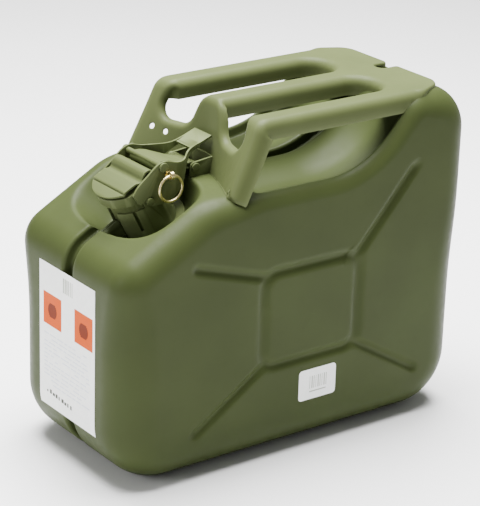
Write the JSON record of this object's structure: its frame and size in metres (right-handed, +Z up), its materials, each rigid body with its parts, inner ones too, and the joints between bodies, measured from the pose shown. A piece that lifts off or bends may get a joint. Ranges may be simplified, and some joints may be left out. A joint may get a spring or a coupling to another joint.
{
  "type": "jerry can",
  "caption": "Pressed-steel jerry can with welded half shells, three-bar carrying handle and a hinged cam-lever cap with a locking pin and pull ring.",
  "frame": {"origin": "middle of the footprint, on the surface the can stands on", "axes": "+X to the rear, -X the spout end, +Y the right side, +Z up"},
  "size_m": [0.3453, 0.1653, 0.2875],
  "materials": {
    "can_paint": "satin",
    "handle_paint": "satin",
    "neck_paint": "satin",
    "cap_paint": "satin",
    "pin_paint": "satin",
    "plain_steel": "satin",
    "gasket_rubber": "matte",
    "ring_brass": "polished",
    "label_print": "matte"
  },
  "bodies": {
    "can": {"left_shell": "can_paint", "right_shell": "can_paint", "handle_front_plate": "handle_paint", "handle_rear_plate": "handle_paint", "left_grip": "handle_paint", "centre_grip": "handle_paint", "right_grip": "handle_paint", "neck": "neck_paint", "neck_seat_ring": "neck_paint", "neck_collar": "neck_paint", "hinge_bracket": "handle_paint", "hinge_pin": "pin_paint", "breather_tube": "plain_steel", "front_label": "label_print", "side_label": "label_print"},
    "lid": {"lid": "cap_paint", "lid_gasket": "gasket_rubber", "gasket_retainer": "plain_steel", "lid_rivet": "plain_steel", "lid_strap": "cap_paint"},
    "lever": {"lever": "cap_paint", "lever_pin": "pin_paint"},
    "lock_pin": {"locking_pin": "ring_brass"},
    "ring": {"pull_ring": "ring_brass"}
  },
  "joints": [
    {"name": "lid_hinge", "type": "hinge", "parent": "can", "child": "lid", "pos_m": [-0.0635, 0, 0.238], "axis": [0, 1, 0], "range_deg": [0, 65]},
    {"name": "lever_pivot", "type": "hinge", "parent": "lid", "child": "lever", "pos_m": [-0.1007, 0, 0.2474], "axis": [0, -1, 0], "range_deg": [0, 110]},
    {"name": "lock_pin_slide", "type": "slide", "parent": "lever", "child": "lock_pin", "axis": [0, -1, 0], "range_m": [0, 0.006]},
    {"name": "ring_swing", "type": "hinge", "parent": "lock_pin", "child": "ring", "pos_m": [-0.0966, -0.031, 0.2411], "axis": [1, 0, 0], "range_deg": [-75, 5]}
  ],
  "couplings": [
    {"joint": "lever_pivot", "follows": "lid_hinge", "ratio": 1.6923}
  ]
}
